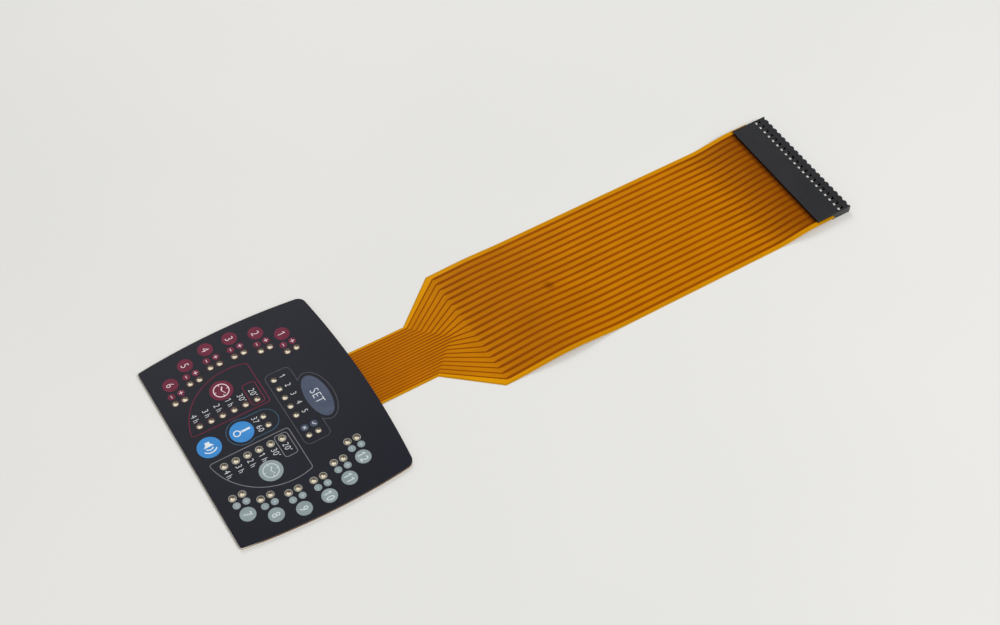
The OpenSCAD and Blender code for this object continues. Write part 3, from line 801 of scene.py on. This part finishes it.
legend = {
    "ink": 0.02, "lift": 0.002, "liftSteps": 4,      # strokes that cross lie this far apart
    "surface": {**prints["surface"], "patchScale": 500, "grainScale": 5000},
    "squeeze": 0.82, "digitShare": 0.73, "curveSteps": 4,
    "cornerShare": 0.3, "cornerSegments": 2, "ringSides": 48,
    "zoneHeight": 2.9, "labelHeight": 2.25, "smallHeight": 2.15, "wordHeight": 3.2,
    "letterSpace": 1.12, "wordSpace": 0.55,
    "flag": {"length": 0.3, "turn": 42},        # the short arm of a one, as a share of its height
    "thinning": 0.05, "greyThinning": -0.03,    # the grey keys' numbers are bolder
    "prime": {"aside": 1.75, "above": 0.75, "length": 0.6, "width": 0.19, "lean": 70},
    "signInset": 4.45, "signPitch": 3.34, "signLength": 1.4, "minusShare": 0.85,
    "signStroke": 0.22, "greySignStroke": 0.13,      # and the grey keys' signs are finer
    "timerLabels": ["20'", "30'", "1 h", "2 h", "3 h", "4 h"], "timerAside": 3.35,
    "temperatureLabels": ["37", "60"], "temperatureBelow": 2.8,
    "programAbove": 3.2, "word": "SET",
    "redZones": range(1, 7), "greyZones": range(7, 13),
    "confirmAside": 3.1,                    # strokes: place aside and above, length, width and turn
    "tick": [(0.18, 0.05, 1.2, 0.26, 50), (-0.4, -0.2, 0.6, 0.26, -45)],
    "cross": [(0, 0, 1.3, 0.26, 45), (0, 0, 1.3, 0.26, -45)],
    "bulb": (-0.1, -1.6, 1.25, 0.36),       # ring: place aside and above, radius and width
    "stem": [(-0.1, 1.65, 2.7, 0.72, 90), (-0.36, -0.05, 0.9, 0.22, 90), (0.16, -0.05, 0.9, 0.22, 90),
             (-0.02, 0.05, 0.3, 0.18, 0)],
    "speaker": {"aside": -1.65, "width": 0.9, "height": 1.6,
                "hornAside": -1.4, "hornLength": 1.0, "hornSpread": 2.2},
    "waves": {"aside": -0.5, "radii": (1.7, 2.85), "stroke": 0.38, "spread": 51},
    "clockRadius": 2.7, "clockStroke": 0.32, "hourMarkLength": 0.6, "hourMarkShare": 0.8,
    "hands": [(148, 1.55, 0.42), (27, 1.75, 0.24)],          # direction, length and width
    "inks": {
        "redKeyMarks": ((232, 206, 214), (244, 222, 228)),
        "greyKeyMarks": ((194, 206, 208), (208, 218, 219)),
        "blueKeyMarks": ((222, 230, 236), (236, 241, 245)),
        "slateKeyMarks": ((208, 214, 222), (226, 230, 236)),
        "overlayMarks": ((226, 229, 232), (240, 242, 244)),
    },
}
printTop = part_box("red_print")[1].z / mm
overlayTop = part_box("overlay_film")[1].z / mm


def keyPlace(key):                          # middle of a key, over its dome
    low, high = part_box("dome_" + key)
    return (low.x + high.x) / 2 / mm, (low.y + high.y) / 2 / mm


def addWord(text, x, y, height, z, thinning):        # digits of this height, with their middle here
    bpy.ops.object.text_add(location=(x * mm, (y - height / 2) * mm, z * mm))
    word = bpy.context.object
    word.data.body = text
    word.data.size = height / legend["digitShare"] * mm
    word.data.align_x = "CENTER"
    word.data.resolution_u = legend["curveSteps"]
    word.data.offset = -thinning * mm
    word.data.space_character = legend["letterSpace"]
    word.data.space_word = legend["wordSpace"]
    pick(word)
    bpy.ops.object.convert(target="MESH")
    word.scale.x = legend["squeeze"]
    applyPlace(word)
    return word


def addStroke(x, y, z, length, width, turn=0):       # a bar with softened corners
    bpy.ops.mesh.primitive_plane_add(size=1, location=(x * mm, y * mm, z * mm))
    stroke = bpy.context.object
    stroke.scale = (length * mm, width * mm, 1)
    stroke.rotation_euler.z = math.radians(turn)
    applyPlace(stroke)
    openMesh(stroke)
    bpy.ops.mesh.bevel(offset=width * legend["cornerShare"] * mm, segments=legend["cornerSegments"],
                       affect="VERTICES")
    closeMesh()
    return stroke


def addStrokes(x, y, z, strokes):           # several, placed from one point
    return [addStroke(x + aside, y + above, z, length, width, turn)
            for aside, above, length, width, turn in strokes]


def addRay(x, y, z, reach, length, width, turn):     # a stroke on a line through one point, this far along it
    angle = math.radians(turn)
    return addStroke(x + reach * math.cos(angle), y + reach * math.sin(angle), z, length, width, turn)


def addNumber(text, x, y, height, z, thinning):      # a word whose ones have their flag
    word = addWord(text, x, y, height, z, thinning)
    glyphs = sorted(looseParts(copyMesh(word, "scrap")), key=lambda glyph: glyph.bound_box[0][0])
    boxes = [(low / mm, high / mm) for low, high in map(cornersOf, glyphs)]
    bpy.ops.object.delete()
    marks = [word]
    length = height * legend["flag"]["length"]
    for letter, (low, high) in zip(text.replace(" ", ""), boxes):
        if letter == "1":
            width = high.x - low.x
            marks.append(addRay(high.x - width / 2, high.y - width / 2, z, -length / 2, length, width,
                                legend["flag"]["turn"]))
    return marks


def addRing(x, y, z, radius, width):
    bpy.ops.mesh.primitive_circle_add(vertices=legend["ringSides"], radius=radius * mm, fill_type="NGON",
                                      location=(x * mm, y * mm, z * mm))
    ring = bpy.context.object
    applyPlace(ring)
    openMesh(ring)
    bpy.ops.mesh.select_mode(type="FACE")
    bpy.ops.mesh.select_all(action="SELECT")
    bpy.ops.mesh.inset(thickness=width * mm)
    bpy.ops.mesh.delete(type="FACE")
    closeMesh()
    return ring


def addArc(x, y, z, radius, width, spread):          # the part of a ring within this angle of +X
    arc = addRing(x, y, z, radius, width)
    angle = math.radians(spread)
    for side in (1, -1):
        openMesh(arc)
        bpy.ops.mesh.bisect(plane_co=(x * mm, y * mm, z * mm), clear_outer=True,
                            plane_no=(-math.sin(angle), side * math.cos(angle), 0))
        closeMesh()
    return arc


def clockMarks(x, y, z):
    radius, stroke = legend["clockRadius"], legend["clockStroke"]
    marks = [addRing(x, y, z, radius, stroke)]
    length, width = legend["hourMarkLength"], stroke * legend["hourMarkShare"]
    for turn in range(0, 360, 90):
        marks.append(addRay(x, y, z, radius - stroke - length / 2, length, width, turn))
    for turn, length, width in legend["hands"]:
        marks.append(addRay(x, y, z, length / 2, length, width, turn))
    return marks


def signMarks(x, y, z, stroke):             # minus below, plus above
    length, step = legend["signLength"], legend["signPitch"] / 2
    return addStrokes(x, y, z, [(0, -step, length * legend["minusShare"], stroke, 0),
                                (0, step, length, stroke, 0), (0, step, length, stroke, 90)])


def sideMarks(side, zones):                 # numbers, signs and clock on one side's keys
    marks = []
    thinning = legend["thinning"] if side < 0 else legend["greyThinning"]
    stroke = legend["signStroke"] if side < 0 else legend["greySignStroke"]
    for zone in zones:
        x, y = keyPlace("zone_%d" % zone)
        marks += addNumber(str(zone), x, y, legend["zoneHeight"], printTop, thinning)
        marks += signMarks(x - side * legend["signInset"], y, printTop, stroke)
    x, y = keyPlace("timer_left" if side < 0 else "timer_right")
    return marks + clockMarks(x, y, printTop)


def temperatureMarks(x, y, z):              # a thermometer: bulb, two lines with a scale, filled stem
    aside, above, radius, width = legend["bulb"]
    return [addRing(x + aside, y + above, z, radius, width)] + addStrokes(x, y, z, legend["stem"])


def soundMarks(x, y, z):                    # a loudspeaker with two waves
    s, waves = legend["speaker"], legend["waves"]
    bpy.ops.mesh.primitive_plane_add(size=1, location=((x + s["aside"]) * mm, y * mm, z * mm))
    speaker = bpy.context.object
    speaker.scale = (s["width"] * mm, s["height"] * mm, 1)
    applyPlace(speaker)
    openMesh(speaker)
    bpy.ops.mesh.select_mode(type="EDGE")
    bpy.ops.mesh.select_all(action="DESELECT")
    closeMesh()
    for edge in speaker.data.edges:
        ends = [speaker.data.vertices[v].co.x for v in edge.vertices]
        edge.select = min(ends) > (x + s["hornAside"]) * mm
    bpy.ops.object.mode_set(mode="EDIT")
    bpy.ops.mesh.extrude_region_move(TRANSFORM_OT_translate={"value": (s["hornLength"] * mm, 0, 0)})
    bpy.ops.transform.resize(value=(1, s["hornSpread"], 1))
    closeMesh()
    return [speaker] + [addArc(x + waves["aside"], y, z, radius, waves["stroke"], waves["spread"])
                        for radius in waves["radii"]]


def confirmMarks(z):                        # a tick above, a cross below
    upper, lower = partCentres("confirm_leds")
    x = upper.x / mm - legend["confirmAside"]
    return (addStrokes(x, upper.y / mm, z, legend["tick"])
            + addStrokes(x, lower.y / mm, z, legend["cross"]))


def overlayLabels(z):                       # words and numbers straight on the black film
    marks = []
    for side, node in ((-1, "timer_leds_left"), (1, "timer_leds_right")):
        for text, place in zip(legend["timerLabels"], partCentres(node)):
            x, y = place.x / mm + side * legend["timerAside"], place.y / mm
            marks += addNumber(text.rstrip("'"), x, y, legend["labelHeight"], z, legend["thinning"])
            if text.endswith("'"):
                prime = legend["prime"]
                marks.append(addStroke(x + prime["aside"], y + prime["above"], z, prime["length"],
                                       prime["width"], prime["lean"]))
    for text, place in zip(legend["temperatureLabels"], partCentres("temperature_leds")):
        marks.append(addWord(text, place.x / mm, place.y / mm - legend["temperatureBelow"],
                             legend["smallHeight"], z, legend["thinning"]))
    for number, place in enumerate(partCentres("program_leds"), 1):
        marks += addNumber(str(number), place.x / mm, place.y / mm + legend["programAbove"],
                           legend["smallHeight"], z, legend["thinning"])
    return marks


def printMarks(name, marks):                # joined and given the ink's thickness
    for number, mark in enumerate(marks):
        mark.location.z = number % legend["liftSteps"] * legend["lift"] * mm
        applyPlace(mark)
    piece = joinPieces(marks, name)
    bpy.ops.object.shade_flat()
    useModifier(piece, "SOLIDIFY", thickness=legend["ink"] * mm, offset=1)
    openMesh(piece)
    bpy.ops.mesh.normals_make_consistent(inside=False)
    closeMesh()
    dark, pale = legend["inks"][name]
    dress(piece, grainedMaterial(name + "Ink", {"darkTone": dark, "paleTone": pale, **legend["surface"]}))
    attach(piece, "root")


def makeLegends():
    printMarks("redKeyMarks", sideMarks(-1, legend["redZones"]))
    printMarks("greyKeyMarks", sideMarks(1, legend["greyZones"]))
    printMarks("blueKeyMarks", temperatureMarks(*keyPlace("temperature"), printTop)
               + soundMarks(*keyPlace("sound"), printTop))
    x, y = keyPlace("program")
    word = addWord(legend["word"], x, y, legend["wordHeight"], printTop, legend["thinning"])
    printMarks("slateKeyMarks", [word] + confirmMarks(printTop))
    printMarks("overlayMarks", overlayLabels(overlayTop))


makeLegends()
print("legends printed")
